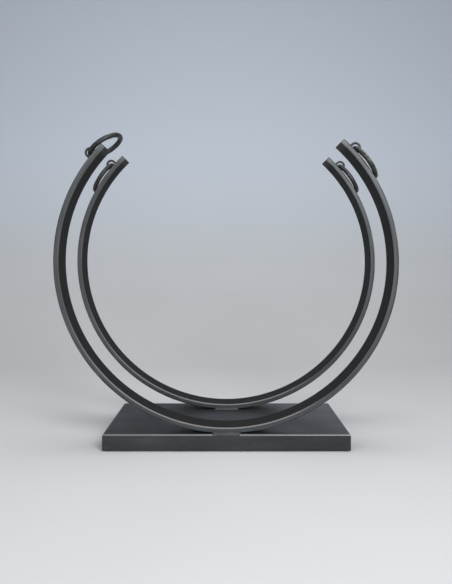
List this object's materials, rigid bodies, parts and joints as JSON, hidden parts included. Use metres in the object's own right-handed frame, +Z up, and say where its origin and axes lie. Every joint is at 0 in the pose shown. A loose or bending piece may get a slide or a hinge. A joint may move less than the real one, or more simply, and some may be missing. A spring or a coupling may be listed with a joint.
{
  "type": "log holder",
  "caption": "Round open-topped steel log holder: two upright hoops welded to a low rectangular plinth, with a swinging ring handle near each hoop tip.",
  "frame": {"origin": "on the floor under the middle of the plinth, midway between the hoops", "axes": "+X to the viewer's right across the hoops, +Y to the rear along the hoops' common axis, +Z up"},
  "size_m": [0.598, 0.242, 0.5551],
  "materials": {
    "plinth_steel": "satin black over folded sheet steel, rubbed to brown along its edges",
    "hoop_steel": "satin black on rolled steel tube, rubbed to brown along its edges",
    "forged_iron": "black hammered iron, brown where it rubs",
    "weld_metal": "blackened weld bead, uneven, with a brown tint",
    "raw_steel": "thinly painted mill-finish flat bar",
    "pad_rubber": "matt black stick-on pad"
  },
  "bodies": {
    "stand": {"base_tray": "plinth_steel", "front_hoop": "hoop_steel", "front_hoop_weld": "weld_metal", "front_backing_bar": "raw_steel", "rear_hoop": "hoop_steel", "rear_hoop_weld": "weld_metal", "rear_backing_bar": "raw_steel", "front_left_tip_cap": "hoop_steel", "front_left_eye": "forged_iron", "front_left_eye_weld": "weld_metal", "front_left_foot_pad": "pad_rubber", "front_right_tip_cap": "hoop_steel", "front_right_eye": "forged_iron", "front_right_eye_weld": "weld_metal", "front_right_foot_pad": "pad_rubber", "rear_left_tip_cap": "hoop_steel", "rear_left_eye": "forged_iron", "rear_left_eye_weld": "weld_metal", "rear_left_foot_pad": "pad_rubber", "rear_right_tip_cap": "hoop_steel", "rear_right_eye": "forged_iron", "rear_right_eye_weld": "weld_metal", "rear_right_foot_pad": "pad_rubber"},
    "front_left_handle": {"front_left_ring": "forged_iron"},
    "front_right_handle": {"front_right_ring": "forged_iron"},
    "rear_left_handle": {"rear_left_ring": "forged_iron"},
    "rear_right_handle": {"rear_right_ring": "forged_iron"}
  },
  "joints": [
    {"name": "front_left_swing", "type": "hinge", "parent": "stand", "child": "front_left_handle", "pos_m": [-0.24067, -0.086, 0.51939], "axis": [0.2377, -0.9272, 0.2895], "range_deg": [0, 208.3]},
    {"name": "front_right_swing", "type": "hinge", "parent": "stand", "child": "front_right_handle", "pos_m": [0.22552, -0.086, 0.52631], "axis": [0, -1, 0], "range_deg": [0, 195.4]},
    {"name": "rear_left_swing", "type": "hinge", "parent": "stand", "child": "rear_left_handle", "pos_m": [-0.23356, 0.086, 0.52312], "axis": [0, 1, 0], "range_deg": [0, 195.4]},
    {"name": "rear_right_swing", "type": "hinge", "parent": "stand", "child": "rear_right_handle", "pos_m": [0.23024, 0.086, 0.52075], "axis": [0, -1, 0], "range_deg": [0, 195.4]}
  ]
}
